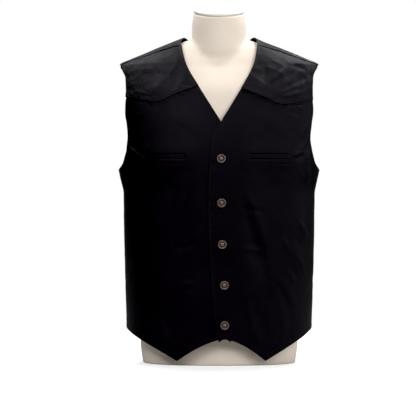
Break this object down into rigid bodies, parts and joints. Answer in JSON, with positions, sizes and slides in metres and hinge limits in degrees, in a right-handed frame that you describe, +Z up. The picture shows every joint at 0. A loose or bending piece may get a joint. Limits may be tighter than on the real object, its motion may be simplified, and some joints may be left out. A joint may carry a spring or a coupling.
{
  "type": "western vest on a dress form",
  "caption": "Black canvas western vest, buttoned, with a V neck, curved front yokes, chest welt pockets and a pointed hem, worn by a limbless cream dress form.",
  "frame": {"origin": "on the form's flat base, under the middle of the shoulders", "axes": "+Z up along the form, -Y out of the vest's front, +X to the wearer's left"},
  "size_m": [0.446, 0.2717, 0.8015],
  "materials": {
    "canvas": "matte twill canvas",
    "button_metal": "antique copper-grey plating, worn on the rims",
    "form_cover": "stretched cream jersey",
    "form_cap": "satin off-white"
  },
  "bodies": {
    "root": {"back": "canvas", "front_left": "canvas", "front_right": "canvas", "yoke_left": "canvas", "yoke_right": "canvas", "welt_left": "canvas", "welt_right": "canvas", "button_1": "button_metal", "button_2": "button_metal", "button_3": "button_metal", "button_4": "button_metal", "button_5": "button_metal", "form_torso": "form_cover", "form_cap": "form_cap"}
  },
  "joints": []
}
